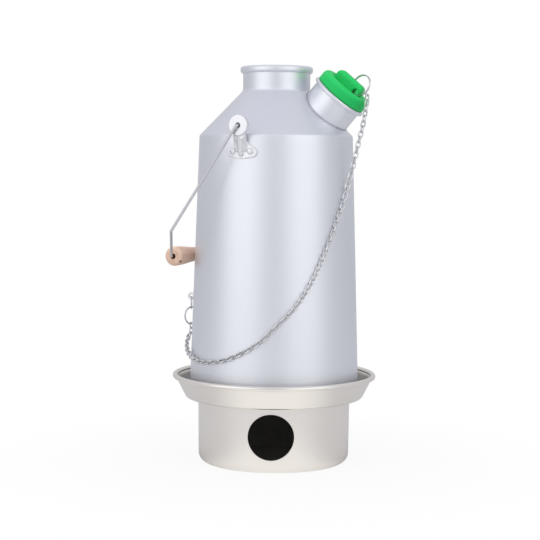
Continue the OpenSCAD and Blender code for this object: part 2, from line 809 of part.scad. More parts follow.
module link() {
    $fn = 32;
    mean_r = (link_w - link_wire_d) / 2;
    half = (link_l - link_w) / 2;
    for (end = [0, 180])
        rotate([0, 0, end])
            translate([half, 0, 0])
                rotate([0, 0, -90])
                    rotate_extrude(angle = 180)
                        translate([mean_r, 0]) circle(d = link_wire_d);
    for (side = [-1, 1])
        translate([-half, side * mean_r, 0])
            rotate([0, 90, 0]) cylinder(d = link_wire_d, h = 2 * half);
}

// One of the chain's stretches, a group of separate links
chain_stretches = 4;
function stretch_start(n) = floor(n * link_count / chain_stretches);
module chain_stretch(n) {
    color(steel) on_ledge()
        for (i = [stretch_start(n) : stretch_start(n + 1) - 1]) {
            s = lead_start + i * link_pitch;
            middle = on_chain(s);
            ahead = unit(on_chain(s + link_pitch / 2) - on_chain(s - link_pitch / 2));
            lift = square_to(level(middle), ahead);
            side = cross(ahead, lift);
            edge = cos(link_roll(i)) * lift + sin(link_roll(i)) * side;
            face = cross(ahead, edge);
            multmatrix([
                [ahead[0], edge[0], face[0], middle[0]],
                [ahead[1], edge[1], face[1], middle[1]],
                [ahead[2], edge[2], face[2], middle[2]],
                [0, 0, 0, 1]
            ]) link();
        }
}

module chain_hanging() {
    chain_stretch(0);
}

module chain_side() {
    chain_stretch(1);
}

module chain_front() {
    chain_stretch(2);
}

module chain_tail() {
    chain_stretch(3);
}

fire_base();
jacket();
chimney();
spout();
ear_front();
ear_rear();
ear_front_rivets();
ear_rear_rivets();
bail();
grip();
stopper();
split_ring();
chain_hanging();
chain_side();
chain_front();
chain_tail();
end_ring();
lug_ring();
lug();
lug_rivets();
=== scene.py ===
# %% [markdown]
# # A storm kettle, from plain solids to a finished look
# This lesson dresses a storm kettle: a water jacket wrapped round a chimney that stands on a small fire pan.
# The solids are already built and fixed in place. Each step below makes one or a few visible pieces in the
# same frame, gives them a material and ties them to the solids that they stand for.

# %% Frame and tools
from math import acos, asin, atan2, ceil, cos, degrees, pi, radians, sin, sqrt, tan

import bmesh
import bpy
import numpy as np
from mathutils import Matrix, Vector


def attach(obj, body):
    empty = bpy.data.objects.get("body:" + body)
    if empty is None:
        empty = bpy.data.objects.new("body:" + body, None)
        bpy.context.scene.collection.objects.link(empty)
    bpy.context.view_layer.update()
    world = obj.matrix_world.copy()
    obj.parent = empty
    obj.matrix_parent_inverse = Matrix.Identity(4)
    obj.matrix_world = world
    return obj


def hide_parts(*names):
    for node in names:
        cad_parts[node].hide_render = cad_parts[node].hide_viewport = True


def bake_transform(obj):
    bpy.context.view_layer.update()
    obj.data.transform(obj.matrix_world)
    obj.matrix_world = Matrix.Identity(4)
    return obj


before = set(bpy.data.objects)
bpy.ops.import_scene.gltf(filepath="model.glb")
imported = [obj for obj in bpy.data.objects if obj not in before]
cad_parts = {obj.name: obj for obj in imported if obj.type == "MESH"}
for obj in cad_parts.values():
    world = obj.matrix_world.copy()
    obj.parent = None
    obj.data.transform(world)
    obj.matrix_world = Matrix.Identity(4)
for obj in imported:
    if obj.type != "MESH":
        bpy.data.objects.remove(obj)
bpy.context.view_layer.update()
print("nodes:", len(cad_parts))

# %% [markdown]
# ## Sizes
# All lengths are in millimetres, as a drawing would give them, and are scaled to metres when a mesh is made.
# Heights of the kettle are counted from its foot, which stands on the ledge of the fire base. Points closer
# than TINY, which is in metres, are merged.

# %% Sizes
MM, TINY = 0.001, 1e-6
BASE_T, BODY_T, SEAM = 1.2, 1.2, 0.05
PAN_FOOT_R, PAN_TOP_R, PAN_H, PAN_CORNER = 68.1, 68.7, 58.6, 8.0
LEDGE_R, LEDGE_BEND, FLARE_BEND = 79.74, 1.2, 4.0
TRAY_R, TRAY_H, TRAY_ROLL = 89.8, 18.4, 2.2
FIRE_HOLE_R, FIRE_HOLE_Z, FIRE_HOLE_TURN = 20.25, 32.6, radians(23)
FOOT_Z = PAN_H + BASE_T + SEAM
FOOT_R, SHOULDER_R, NECK_R = 76.6, 68.9, 30.15
WALL_H, CONE_H, NECK_H = 234.6, 40.2, 21.6
SHOULDER_BEND, NECK_BEND = 3.0, 5.0
NECK_Z = WALL_H + CONE_H
TOP_Z = NECK_Z + NECK_H
FLUE_FOOT_R, FLUE_FOOT_BEND, THROAT_DROP, THROAT_BEND = 69.5, 3.0, 5.0, 10.0
THROAT_R = NECK_R - 2 * BODY_T - SEAM
RIM_H, RIM_W, RIM_BEND = 6.0, 4.8, 2.208
SPOUT_R, SPOUT_LEN, SPOUT_ROLL = 23.3, 17.0, 1.9
SPOUT_ANGLE, SPOUT_TURN, SPOUT_PLACE = radians(49.5), radians(6), 0.55
CAP_T, BAR_L, BAR_W, BAR_RISE = 10.4, 28.0, 12.0, 8.2
PIVOT_H, EYE_Y, EAR_T, EAR_DROP, EAR_RIVET_GAP = 242.4, 76.0, 4.0, 22.2, 16.6
RIVET_D, RIVET_RISE, RIVET_SEAT, RIVET_LUG_RISES = 6.0, 1.4, 1.65, (7.0, 16.0)
BAIL_LEN, BAIL_BEND, WIRE_D, WIRE_BEND = 141.0, 111.6, 2.5, 2.5
PIN_REACH, PIN_HEAD_T, PIN_HEAD_D = 2.4, 1.4, 5.0
GRIP_L, GRIP_END, GRIP_WAIST, GRIP_BORE, GRIP_GAP = 94.0, 17.5, 12.5, 4.4, 0.8
GRIP_CORNER, MOUTH_D, MOUTH_DEEP, MOUTH_EDGE = 3.0, 5.2, 1.0, 0.05
KNOT_PLACE = 7.0, 1.5, -4.5
LUG_H, LUG_TURN, LUG_REACH, LUG_HOLE = 87.96, 80, 5.6, 3.2


def wall_r(h):
    """Radius of the jacket's wall at a height above the foot."""
    return FOOT_R - (FOOT_R - SHOULDER_R) * h / WALL_H


print("height over all: %.1f mm" % (FOOT_Z + TOP_Z))

# %% [markdown]
# ## Bent sheet
# A spun piece starts as a flat disc that is pressed over a former. Its section is a line with rounded corners
# and one thickness of sheet beside it. Three short functions draw that: one rounds the corners of a line,
# one sets the thickness off to its left, and one draws the arc of a rolled edge.


# %% Bent sheet
def rounded(corners, steps=10):
    """A line through [x, y] and [x, y, radius] corners, the latter rounded."""
    line = []
    for i, corner in enumerate(corners):
        tip = Vector(corner[:2])
        if len(corner) == 2:
            line.append(tip)
            continue
        to_last = (Vector(corners[i - 1][:2]) - tip).normalized()
        to_next = (Vector(corners[i + 1][:2]) - tip).normalized()
        half = acos(max(-1, min(1, to_last.dot(to_next)))) / 2
        centre = tip + (to_last + to_next).normalized() * corner[2] / sin(half)
        a = tip + to_last * corner[2] / tan(half) - centre
        b = tip + to_next * corner[2] / tan(half) - centre
        start = atan2(a.y, a.x)
        sweep = (atan2(b.y, b.x) - start + 3 * pi) % (2 * pi) - pi
        for k in range(steps + 1):
            angle = start + sweep * k / steps
            line.append(centre + corner[2] * Vector((cos(angle), sin(angle))))
    return line


def beside(line, t):
    """The line set off to its left by t."""
    out = []
    for i, p in enumerate(line):
        before = (line[max(i, 1)] - line[max(i, 1) - 1]).normalized()
        last = len(line) - 2
        after = (line[min(i, last) + 1] - line[min(i, last)]).normalized()
        n1, n2 = Vector((-before.y, before.x)), Vector((-after.y, after.x))
        out.append(p + (n1 + n2) * t / (1 + n1.dot(n2)))
    return out


def arc(centre, radius, start, stop, steps=12):
    """Points on an arc, in degrees."""
    angles = [radians(start + (stop - start) * k / steps) for k in range(steps + 1)]
    return [Vector(centre) + radius * Vector((cos(a), sin(a))) for a in angles]


print("a right-angle bend of radius 3 takes", len(rounded([[0, 0], [5, 0, 3], [5, 5]])), "points")

# %% [markdown]
# ## Small helpers for meshes
# A finished piece is a plain mesh at the origin, so that it can ride on its body. These helpers make a mesh
# from points, turn a modified object into a plain mesh, mark its sharp edges, draw wire, cut holes and tie a
# piece to a body.


# %% Mesh helpers
def add_object(name, data):
    """A new object of the scene that shows a mesh, curve, light or camera."""
    obj = bpy.data.objects.new(name, data)
    bpy.context.scene.collection.objects.link(obj)
    return obj


def add_mesh(name, points, faces=()):
    """A new mesh object from points in millimetres."""
    mesh = bpy.data.meshes.new(name)
    mesh.from_pydata([tuple(MM * c for c in p) for p in points], (), faces)
    return add_object(name, mesh)


def plain(obj, sharp=35):
    """Replace an object's mesh by what its modifiers make of it, facing outwards, with sharp edges marked."""
    depsgraph = bpy.context.evaluated_depsgraph_get()
    mesh = bpy.data.meshes.new_from_object(obj.evaluated_get(depsgraph))
    mesh.name = obj.name
    obj.modifiers.clear()
    obj.data = mesh
    work = bmesh.new()
    work.from_mesh(mesh)
    bmesh.ops.recalc_face_normals(work, faces=work.faces)
    work.to_mesh(mesh)
    work.free()
    mesh.shade_smooth()
    mesh.set_sharp_from_angle(angle=radians(sharp))
    return obj


def place(obj, body, slot, material, *nodes):
    """Tie a finished piece to a body and its solids, with its material."""
    obj.data.materials.clear()
    obj.data.materials.append(material)
    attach(obj, body)
    if nodes:
        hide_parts(*nodes)
    obj.data.calc_loop_triangles()
    print(obj.name, "rides on", body + ":", len(obj.data.loop_triangles), "triangles")
    return obj


def tube(name, points, radius, closed=False, sides=12):
    """A round wire along points in millimetres."""
    curve = bpy.data.curves.new(name, "CURVE")
    curve.dimensions = "3D"
    curve.bevel_depth = radius * MM
    curve.bevel_resolution = sides // 2 - 2
    curve.use_fill_caps = not closed
    spline = curve.splines.new("POLY")
    spline.points.add(len(points) - 1)
    for point, p in zip(spline.points, points):
        point.co = (*(MM * c for c in p), 1)
    spline.use_cyclic_u = closed
    wire = add_object(name + "_line", curve)
    mesh = bpy.data.meshes.new_from_object(wire.evaluated_get(bpy.context.evaluated_depsgraph_get()))
    bpy.data.objects.remove(wire)
    return plain(add_object(name, mesh))


def carve(obj, cutter):
    """Cut one closed mesh out of another, and drop the cutter."""
    cut = obj.modifiers.new("cut", "BOOLEAN")
    cut.operation = "DIFFERENCE"
    cut.solver = "EXACT"
    cut.object = cutter
    plain(obj)
    bpy.data.objects.remove(cutter)
    return obj


def rod(radius, start, end, sides=96):
    """A closed cylinder between two points in millimetres, for cutting."""
    work = bmesh.new()
    start, end = Vector(start) * MM, Vector(end) * MM
    turn = (end - start).to_track_quat("Z", "Y").to_matrix().to_4x4()
    bmesh.ops.create_cone(
        work, cap_ends=True, segments=sides, radius1=radius * MM, radius2=radius * MM,
        depth=(end - start).length, matrix=Matrix.Translation((start + end) / 2) @ turn,
    )
    mesh = bpy.data.meshes.new("rod")
    work.to_mesh(mesh)
    work.free()
    return add_object("rod", mesh)


print("helpers ready")

# %% [markdown]
# ## Materials
# Spun aluminium shows fine level lines, because the tool runs round the piece while it turns. The lines
# come from a noise that is stretched flat, so that it changes quickly with height and hardly at all round
# the piece. It moves the roughness and a faint bump, not the colour. A point attribute says how much
# painted shade, a dark grey, lies on the inside faces where little light reaches. The grip uses the
# same attribute to paint shade into its hole.


# %% Materials
def material(name, color, metallic, roughness, **more):
    """A plain finish: the material, its node tree and its shader."""
    mat = bpy.data.materials.new(name)
    mat.use_nodes = True
    mat.diffuse_color = (*color, 1)
    shader = mat.node_tree.nodes["Principled BSDF"]
    shader.inputs["Base Color"].default_value = (*color, 1)
    shader.inputs["Metallic"].default_value = metallic
    shader.inputs["Roughness"].default_value = roughness
    for socket, value in more.items():
        shader.inputs[socket.replace("_", " ")].default_value = value
    return mat, mat.node_tree, shader


def stretched_noise(tree, scale, size, detail):
    """Noise in the object's own coordinates, stretched by a scale on each axis."""
    where = tree.nodes.new("ShaderNodeTexCoord")
    stretch = tree.nodes.new("ShaderNodeMapping")
    stretch.inputs["Scale"].default_value = scale
    noise = tree.nodes.new("ShaderNodeTexNoise")
    noise.inputs["Scale"].default_value = size
    noise.inputs["Detail"].default_value = detail
    tree.links.new(where.outputs["Object"], stretch.inputs["Vector"])
    tree.links.new(stretch.outputs["Vector"], noise.inputs["Vector"])
    return noise.outputs["Fac"]


def spread(tree, value, low, high):
    """Map a value from 0..1 to low..high."""
    mapped = tree.nodes.new("ShaderNodeMapRange")
    mapped.inputs["To Min"].default_value = low
    mapped.inputs["To Max"].default_value = high
    tree.links.new(value, mapped.inputs["Value"])
    return mapped.outputs["Result"]


def bumped(tree, shader, height, strength, distance):
    """A faint bump from a height value."""
    bump = tree.nodes.new("ShaderNodeBump")
    bump.inputs["Strength"].default_value = strength
    bump.inputs["Distance"].default_value = distance
    tree.links.new(height, bump.inputs["Height"])
    tree.links.new(bump.outputs["Normal"], shader.inputs["Normal"])


def spun_metal(name, color, roughness, lines, relief):
    """Spun aluminium with level tool lines and a dark grey painted as shade on the inside faces marked for
    it.
    """
    mat, tree, shader = material(name, color, metallic=1.0, roughness=roughness)
    noise = stretched_noise(tree, scale=(4, 4, 900), size=1.0, detail=2.0)
    tree.links.new(spread(tree, noise, roughness - lines, roughness + lines), shader.inputs["Roughness"])
    bumped(tree, shader, noise, strength=relief, distance=0.0002)
    # painted shade: a dark grey mixed in on the points marked for it, where little light reaches
    painted_shade = tree.nodes.new("ShaderNodeAttribute")
    painted_shade.attribute_name = "painted_shade"
    painted_shade_coat = tree.nodes.new("ShaderNodeBsdfPrincipled")
    painted_shade_coat.inputs["Base Color"].default_value = (0.31, 0.30, 0.275, 1)
    painted_shade_coat.inputs["Roughness"].default_value = 0.8
    mix = tree.nodes.new("ShaderNodeMixShader")
    tree.links.new(painted_shade.outputs["Fac"], mix.inputs["Fac"])
    tree.links.new(shader.outputs["BSDF"], mix.inputs[1])
    tree.links.new(painted_shade_coat.outputs["BSDF"], mix.inputs[2])
    tree.links.new(mix.outputs["Shader"], tree.nodes["Material Output"].inputs["Surface"])
    return mat


def cast(name, color, roughness, grain):
    """Cast metal: a fine even grain in the roughness and the surface."""
    mat, tree, shader = material(name, color, metallic=1.0, roughness=roughness)
    noise = stretched_noise(tree, scale=(1, 1, 1), size=900.0, detail=2.0)
    tree.links.new(spread(tree, noise, roughness - grain, roughness + grain), shader.inputs["Roughness"])
    bumped(tree, shader, noise, strength=0.12, distance=0.0002)
    return mat


def by_distance(tree, spot, near, far, at_near, at_far):
    """A value that changes smoothly with the distance from a spot; all lengths are in metres."""
    where = tree.nodes.new("ShaderNodeTexCoord")
    away = tree.nodes.new("ShaderNodeVectorMath")
    away.operation = "DISTANCE"
    away.inputs[1].default_value = spot
    tree.links.new(where.outputs["Object"], away.inputs[0])
    fade = tree.nodes.new("ShaderNodeMapRange")
    fade.interpolation_type = "SMOOTHSTEP"
    for socket, value in (("From Min", near), ("From Max", far), ("To Min", at_near), ("To Max", at_far)):
        fade.inputs[socket].default_value = value
    tree.links.new(away.outputs["Value"], fade.inputs["Value"])
    return fade.outputs["Result"]


def tinted(tree, color, share, tint):
    """A colour, mixed with a tint by a share."""
    mix = tree.nodes.new("ShaderNodeMixRGB")
    mix.inputs["Color2"].default_value = (*tint, 1)
    tree.links.new(share, mix.inputs["Fac"])
    tree.links.new(color, mix.inputs["Color1"])
    return mix.outputs["Color"]


def wood(name, pale, dark, knot):
    """Turned wood with its grain along the grip, painted shade in its drilled hole and one small knot at a
    spot.
    """
    mat, tree, shader = material(name, pale, metallic=0.0, roughness=0.55)
    grain = stretched_noise(tree, scale=(220, 12, 220), size=1.0, detail=4.0)
    ramp = tree.nodes.new("ShaderNodeValToRGB")
    late, early = ramp.color_ramp.elements
    late.position, late.color = 0.35, (*dark, 1)
    early.position, early.color = 0.62, (*pale, 1)
    tree.links.new(grain, ramp.inputs["Fac"])
    at_knot = by_distance(tree, knot, near=0.0006, far=0.0018, at_near=1.0, at_far=0.0)
    color = tinted(tree, ramp.outputs["Color"], at_knot, (0.20, 0.065, 0.035))
    # painted shade: the drilled hole is tinted dark brown on its marked points
    hole_shade = tree.nodes.new("ShaderNodeAttribute")
    hole_shade.attribute_name = "painted_shade"
    color = tinted(tree, color, hole_shade.outputs["Fac"], (0.22, 0.09, 0.05))
    tree.links.new(color, shader.inputs["Base Color"])
    bumped(tree, shader, grain, strength=0.15, distance=0.0003)
    return mat


jacket_metal = spun_metal("satin aluminium", (0.82, 0.835, 0.87), roughness=0.45, lines=0.05, relief=0.05)
base_metal = spun_metal("spun base aluminium", (0.86, 0.82, 0.765), roughness=0.29, lines=0.035, relief=0.02)
cast_metal = cast("bright cast aluminium", (0.80, 0.80, 0.82), roughness=0.36, grain=0.06)
wire_metal = material("drawn steel wire", (0.62, 0.62, 0.63), metallic=1.0, roughness=0.28)[0]
chain_metal = material("chain steel", (0.70, 0.70, 0.70), metallic=1.0, roughness=0.27)[0]
weld_metal = material("weld seam", (0.50, 0.50, 0.54), metallic=1.0, roughness=0.45)[0]
silicone = material(
    "green silicone", (0.012, 0.54, 0.117), metallic=0.0, roughness=0.5, Specular_IOR_Level=0.25,
)[0]
print("materials:", len(bpy.data.materials))

# %% [markdown]
# ## A lathe in Geometry Nodes
# The fire base, the jacket, the chimney and the grip are all turned round one axis. The rule for that is
# a grid: one row of points for each place on the section, one column for each step of the turn. The node
# group reads the section's radius, height and painted shade by index, places the grid's points and closes the
# seam.


# %% Lathe rule
def node(tree, kind, **settings):
    """A node of a kind with some of its settings."""
    made = tree.nodes.new(kind)
    for key, value in settings.items():
        setattr(made, key, value)
    return made


def math_node(tree, operation, a, b=None):
    """A maths node whose inputs are sockets or numbers."""
    made = node(tree, "ShaderNodeMath", operation=operation)
    for socket, value in zip(made.inputs, (a, b)):
        if isinstance(value, (int, float)):
            socket.default_value = value
        elif value is not None:
            tree.links.new(value, socket)
    return made.outputs["Value"]


def group_with(name, inputs):
    """An empty geometry group with named inputs, ready to be filled."""
    tree = bpy.data.node_groups.new(name, "GeometryNodeTree")
    tree.interface.new_socket("Geometry", in_out="INPUT", socket_type="NodeSocketGeometry")
    for title, kind in inputs:
        tree.interface.new_socket(title, in_out="INPUT", socket_type=kind)
    tree.interface.new_socket("Geometry", in_out="OUTPUT", socket_type="NodeSocketGeometry")
    return tree, tree.nodes.new("NodeGroupInput").outputs


def close_group(tree, geometry, finish):
    """End a group: make instances real, set the material and send the mesh out."""
    real = node(tree, "GeometryNodeRealizeInstances")
    smooth = node(tree, "GeometryNodeSetShadeSmooth")
    paint = node(tree, "GeometryNodeSetMaterial")
    out = node(tree, "NodeGroupOutput")
    tree.links.new(geometry, real.inputs["Geometry"])
    tree.links.new(real.outputs["Geometry"], smooth.inputs["Geometry"])
    tree.links.new(smooth.outputs["Geometry"], paint.inputs["Geometry"])
    tree.links.new(finish, paint.inputs["Material"])
    tree.links.new(paint.outputs["Geometry"], out.inputs["Geometry"])


def run_group(obj, tree, values):
    """Put a group on an object with its inputs set by socket identifier, and keep the plain mesh."""
    run = obj.modifiers.new(tree.name, "NODES")
    run.node_group = tree
    for item in tree.interface.items_tree:
        if item.in_out == "INPUT" and item.name in values:
            run[item.identifier] = values[item.name]
    return plain(obj)


lathe, given = group_with("Lathe", [("Steps", "NodeSocketInt"), ("Material", "NodeSocketMaterial")])
count = node(lathe, "GeometryNodeAttributeDomainSize")
lathe.links.new(given["Geometry"], count.inputs["Geometry"])
grid = node(lathe, "GeometryNodeMeshGrid")
rows = count.outputs["Point Count"]
lathe.links.new(math_node(lathe, "ADD", given["Steps"], 1), grid.inputs["Vertices X"])
lathe.links.new(rows, grid.inputs["Vertices Y"])
index = node(lathe, "GeometryNodeInputIndex").outputs["Index"]
column = math_node(lathe, "FLOOR", math_node(lathe, "DIVIDE", index, rows))
row = math_node(lathe, "SUBTRACT", index, math_node(lathe, "MULTIPLY", column, rows))
turn = math_node(lathe, "DIVIDE", math_node(lathe, "MULTIPLY", column, 2 * pi), given["Steps"])
section = node(lathe, "GeometryNodeSampleIndex", data_type="FLOAT_VECTOR")
lathe.links.new(given["Geometry"], section.inputs["Geometry"])
lathe.links.new(node(lathe, "GeometryNodeInputPosition").outputs["Position"], section.inputs["Value"])
lathe.links.new(row, section.inputs["Index"])
split = node(lathe, "ShaderNodeSeparateXYZ")
lathe.links.new(section.outputs["Value"], split.inputs["Vector"])
point = node(lathe, "ShaderNodeCombineXYZ")
for axis, wave in (("X", "COSINE"), ("Y", "SINE")):
    part = math_node(lathe, "MULTIPLY", split.outputs["X"], math_node(lathe, wave, turn))
    lathe.links.new(part, point.inputs[axis])
lathe.links.new(split.outputs["Z"], point.inputs["Z"])
# carries each point's painted shade over from the section to the turned grid
named = node(lathe, "GeometryNodeInputNamedAttribute", data_type="FLOAT")
named.inputs["Name"].default_value = "painted_shade"
painted_shade_at = node(lathe, "GeometryNodeSampleIndex", data_type="FLOAT")
lathe.links.new(given["Geometry"], painted_shade_at.inputs["Geometry"])
lathe.links.new(named.outputs["Attribute"], painted_shade_at.inputs["Value"])
lathe.links.new(row, painted_shade_at.inputs["Index"])
keep = node(lathe, "GeometryNodeStoreNamedAttribute", data_type="FLOAT", domain="POINT")
keep.inputs["Name"].default_value = "painted_shade"
lathe.links.new(grid.outputs["Mesh"], keep.inputs["Geometry"])
lathe.links.new(painted_shade_at.outputs["Value"], keep.inputs["Value"])
move = node(lathe, "GeometryNodeSetPosition")
lathe.links.new(keep.outputs["Geometry"], move.inputs["Geometry"])
lathe.links.new(point.outputs["Vector"], move.inputs["Position"])
seam = node(lathe, "GeometryNodeMergeByDistance")
seam.inputs["Distance"].default_value = TINY
lathe.links.new(move.outputs["Geometry"], seam.inputs["Geometry"])
close_group(lathe, seam.outputs["Geometry"], given["Material"])


def turned(name, outline, finish, lift=0.0, painted_shade=(), steps=192):
    """Turn a closed outline of (radius, height) round the z axis, with one painted-shade value per point."""
    loop = list(outline) + [outline[0]]
    obj = add_mesh(name, [(p[0], 0, p[1] + lift) for p in loop])
    mark = obj.data.attributes.new("painted_shade", "FLOAT", "POINT")
    painted_shade = list(painted_shade) or [0.0] * len(outline)
    mark.data.foreach_set("value", painted_shade + painted_shade[:1])
    return run_group(obj, lathe, {"Steps": steps, "Material": finish})


print("lathe group has", len(lathe.nodes), "nodes")

# %% [markdown]
# ## The fire base
# The fire base is spun from one disc: a straight pan for the fire, a flat ledge that the kettle stands on
# and a flared tray with a rolled rim. The pan's inside gets full painted shade and the tray a little less,
# so their points carry a painted-shade value. The fire hole is cut last, as it would be with a punch.


# %% Fire base
def fine(line, step=6.0):
    """The same line with extra points, so that no length is longer than step."""
    out = [line[0]]
    for a, b in zip(line, line[1:]):
        parts = max(1, ceil((b - a).length / step))
        out += [a + (b - a) * k / parts for k in range(1, parts + 1)]
    return out


# painted shade on the upper faces: full inside the pan, a little less on the ledge and tray
PAN_SHADE, TRAY_SHADE, ROLL_START, ROLL_END = 1.0, 0.85, -117, 209.7
roll = Vector((TRAY_R, PAN_H + BASE_T + TRAY_H))
under = fine(rounded([
    [0, 0], [PAN_FOOT_R, 0, PAN_CORNER], [PAN_TOP_R, PAN_H, LEDGE_BEND], [LEDGE_R, PAN_H, FLARE_BEND], roll,
]))
over = beside(under, BASE_T)
rim = arc(roll, TRAY_ROLL, ROLL_START, ROLL_END, steps=24)
upper = over[-2::-1]
inside = [PAN_SHADE if p.x < PAN_TOP_R and p.y < PAN_H else TRAY_SHADE for p in upper]
bright = [0.0] * (len(under) - 1 + len(rim))
pan = turned("pan", under[:-1] + rim + upper, base_metal, painted_shade=bright + inside)
hole_way = Vector((sin(FIRE_HOLE_TURN), -cos(FIRE_HOLE_TURN), 0))
hole_middle = PAN_FOOT_R * hole_way + Vector((0, 0, FIRE_HOLE_Z))
carve(pan, rod(FIRE_HOLE_R, hole_middle - FIRE_HOLE_R * hole_way, hole_middle + FIRE_HOLE_R * hole_way))
place(pan, "base", "base_aluminium", base_metal, "fire_base")

# %% [markdown]
# ## The water jacket
# The jacket is a tall cone with a shoulder and a neck. It is turned in the same way, then a round hole is
# cut in the shoulder for the spout. The spout's axis rises steeply from the middle of the shoulder, and the
# whole spout is turned a little from square to the bail.

# %% Jacket
jacket_line = fine(rounded([
    [FOOT_R, 0], [SHOULDER_R, WALL_H, SHOULDER_BEND], [NECK_R, NECK_Z, NECK_BEND],
    [NECK_R, TOP_Z - RIM_H - SEAM],
]))
jacket = turned("jacket_skin", jacket_line + beside(jacket_line, BODY_T)[::-1], jacket_metal, FOOT_Z)
upright = Vector((0, 0, 1))
outward = Vector((cos(SPOUT_TURN), sin(SPOUT_TURN), 0))
across = upright.cross(outward)
along = cos(SPOUT_ANGLE) * outward + sin(SPOUT_ANGLE) * upright
down = sin(SPOUT_ANGLE) * outward - cos(SPOUT_ANGLE) * upright
root = (SHOULDER_R + SPOUT_PLACE * (NECK_R - SHOULDER_R)) * outward
root += (FOOT_Z + WALL_H + SPOUT_PLACE * CONE_H) * upright
spout_rim = root + SPOUT_LEN * along
cut_reach = 40 * along
carve(jacket, rod(SPOUT_R - BODY_T, root - cut_reach, root + cut_reach))
place(jacket, "kettle", "body_aluminium", jacket_metal, "jacket")

# %% [markdown]
# ## The chimney
# The chimney narrows from the foot to the throat, and its top edge is rolled outwards over the neck, which
# locks the two walls together. Its inner side is painted dark as shade, and the rim stays bright.

# %% Chimney
flue = fine(rounded([
    [FOOT_R - BODY_T - SEAM, 0], [FLUE_FOOT_R, 0, FLUE_FOOT_BEND],
    [THROAT_R, NECK_Z - THROAT_DROP, THROAT_BEND], [THROAT_R, TOP_Z - RIM_H],
]))
rim = rounded([
    [THROAT_R, TOP_Z - RIM_H], [THROAT_R, TOP_Z, RIM_BEND], [THROAT_R + RIM_W, TOP_Z, RIM_BEND],
    [THROAT_R + RIM_W, TOP_Z - RIM_H, RIM_BEND], [THROAT_R + BODY_T, TOP_Z - RIM_H],
])[1:-1]
outline = flue + rim + beside(flue, -BODY_T)[::-1]
# painted shade: full on the flue's inner side, none on the rim and the outer side
inside = [1.0] * len(flue) + [0.0] * (len(rim) + len(flue))
chimney = turned("flue", outline, jacket_metal, FOOT_Z, inside)
place(chimney, "kettle", "body_aluminium", jacket_metal, "chimney")

# %% [markdown]
# ## The spout
# The spout is a plain tube whose foot follows the shoulder. For each direction round the tube, repeated
# halving finds how far down it has to reach before it meets the jacket. The rim is a roll, and a thin seam
# of weld hides the joint.


# %% Spout
def skin_r(z):
    """Radius of the jacket's skin at a height."""
    return float(np.interp(z - FOOT_Z, [p.y for p in jacket_line], [p.x for p in jacket_line]))


def foot_of(radius, angle):
    """Distance along the spout's axis, from its rim, at which a line of the tube meets the jacket."""
    side = radius * (cos(angle) * down + sin(angle) * across)
    low, high = -60.0, 0.0
    for _ in range(40):
        middle = (low + high) / 2
        p = spout_rim + side + middle * along
        low, high = (middle, high) if sqrt(p.x ** 2 + p.y ** 2) < skin_r(p.z) else (low, middle)
    return high


def on_spout(radius, angle, s):
    """A point of the spout, s along its axis from the rim."""
    return spout_rim + radius * (cos(angle) * down + sin(angle) * across) + s * along


SEAM_OUT, SEAM_RISE, SEAM_R, ROLL_FOOT, PARTS = 0.1, 0.2, 0.75, -121.3, 4
inner = SPOUT_R - BODY_T
roll = [(p.x, p.y) for p in arc((inner + SPOUT_ROLL, 0), SPOUT_ROLL, ROLL_FOOT, 180, steps=20)]
turns, points, seam_line = 128, [], []
for k in range(turns):
    angle = 2 * pi * k / turns
    outer_foot, inner_foot = foot_of(SPOUT_R, angle), foot_of(inner, angle)
    wall = [(SPOUT_R, outer_foot + (roll[0][1] - outer_foot) * i / PARTS) for i in range(PARTS)]
    bore = [(inner, inner_foot * i / PARTS) for i in range(1, PARTS + 1)]
    points += [on_spout(r, angle, s) for r, s in wall + roll + bore]
    seam_line.append(on_spout(SPOUT_R + SEAM_OUT, angle, outer_foot + SEAM_RISE))
rows = len(points) // turns
faces = [
    (a * rows + i, b * rows + i, b * rows + (i + 1) % rows, a * rows + (i + 1) % rows)
    for a in range(turns) for b in [(a + 1) % turns] for i in range(rows)
]
spout = plain(add_mesh("spout_tube", points, faces=faces))
place(spout, "kettle", "body_aluminium", jacket_metal, "spout")
seam = tube("spout_weld", seam_line, SEAM_R, closed=True)
place(seam, "kettle", "body_aluminium", weld_metal)

# %% [markdown]
# ## Castings
# The ears, the lug and the stopper come out of moulds, so none of their edges is sharp. A copy of each
# solid is rebuilt on a fine grid and smoothed a little, which rounds the edges evenly.


# %% Castings
def softened(name, source, grid_step, passes):
    """A copy of a solid with evenly rounded edges; the step is in millimetres."""
    work = bmesh.new()
    work.from_mesh(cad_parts[source].data)
    bmesh.ops.remove_doubles(work, verts=work.verts, dist=TINY)
    mesh = bpy.data.meshes.new(name)
    work.to_mesh(mesh)
    work.free()
    obj = add_object(name, mesh)
    remesh = obj.modifiers.new("grid", "REMESH")
    remesh.mode = "VOXEL"
    remesh.voxel_size = grid_step * MM
    smooth = obj.modifiers.new("soft", "SMOOTH")
    smooth.iterations = passes
    thin = obj.modifiers.new("thin", "DECIMATE")
    thin.ratio = 0.5
    return plain(obj, sharp=75)


for side in ("front", "rear"):
    ear = softened("cast_ear_" + side, "ear_" + side, grid_step=0.35, passes=5)
    place(ear, "kettle", "body_aluminium", cast_metal, "ear_" + side)
lug = softened("pressed_lug", "lug", grid_step=0.3, passes=3)
place(lug, "kettle", "body_aluminium", cast_metal, "lug")
stopper = softened("moulded_stopper", "stopper", grid_step=0.45, passes=5)
place(stopper, "stopper", "silicone", silicone, "stopper")

# %% [markdown]
# ## Rivets in Geometry Nodes
# Every rivet is the same dome, so one dome is drawn and repeated on points. Each point carries the
# direction that its dome faces. The group's inputs are the head's width and height.


# %% Rivet rule
def spots(name, places):
    """Points in millimetres, each with the x and z directions of the thing that is set there."""
    obj = add_mesh(name, [p for p, _, _ in places])
    for title, column in (("ahead", 1), ("facing", 2)):
        mark = obj.data.attributes.new(title, "FLOAT_VECTOR", "POINT")
        mark.data.foreach_set("vector", [c for spot in places for c in spot[column]])
    return obj


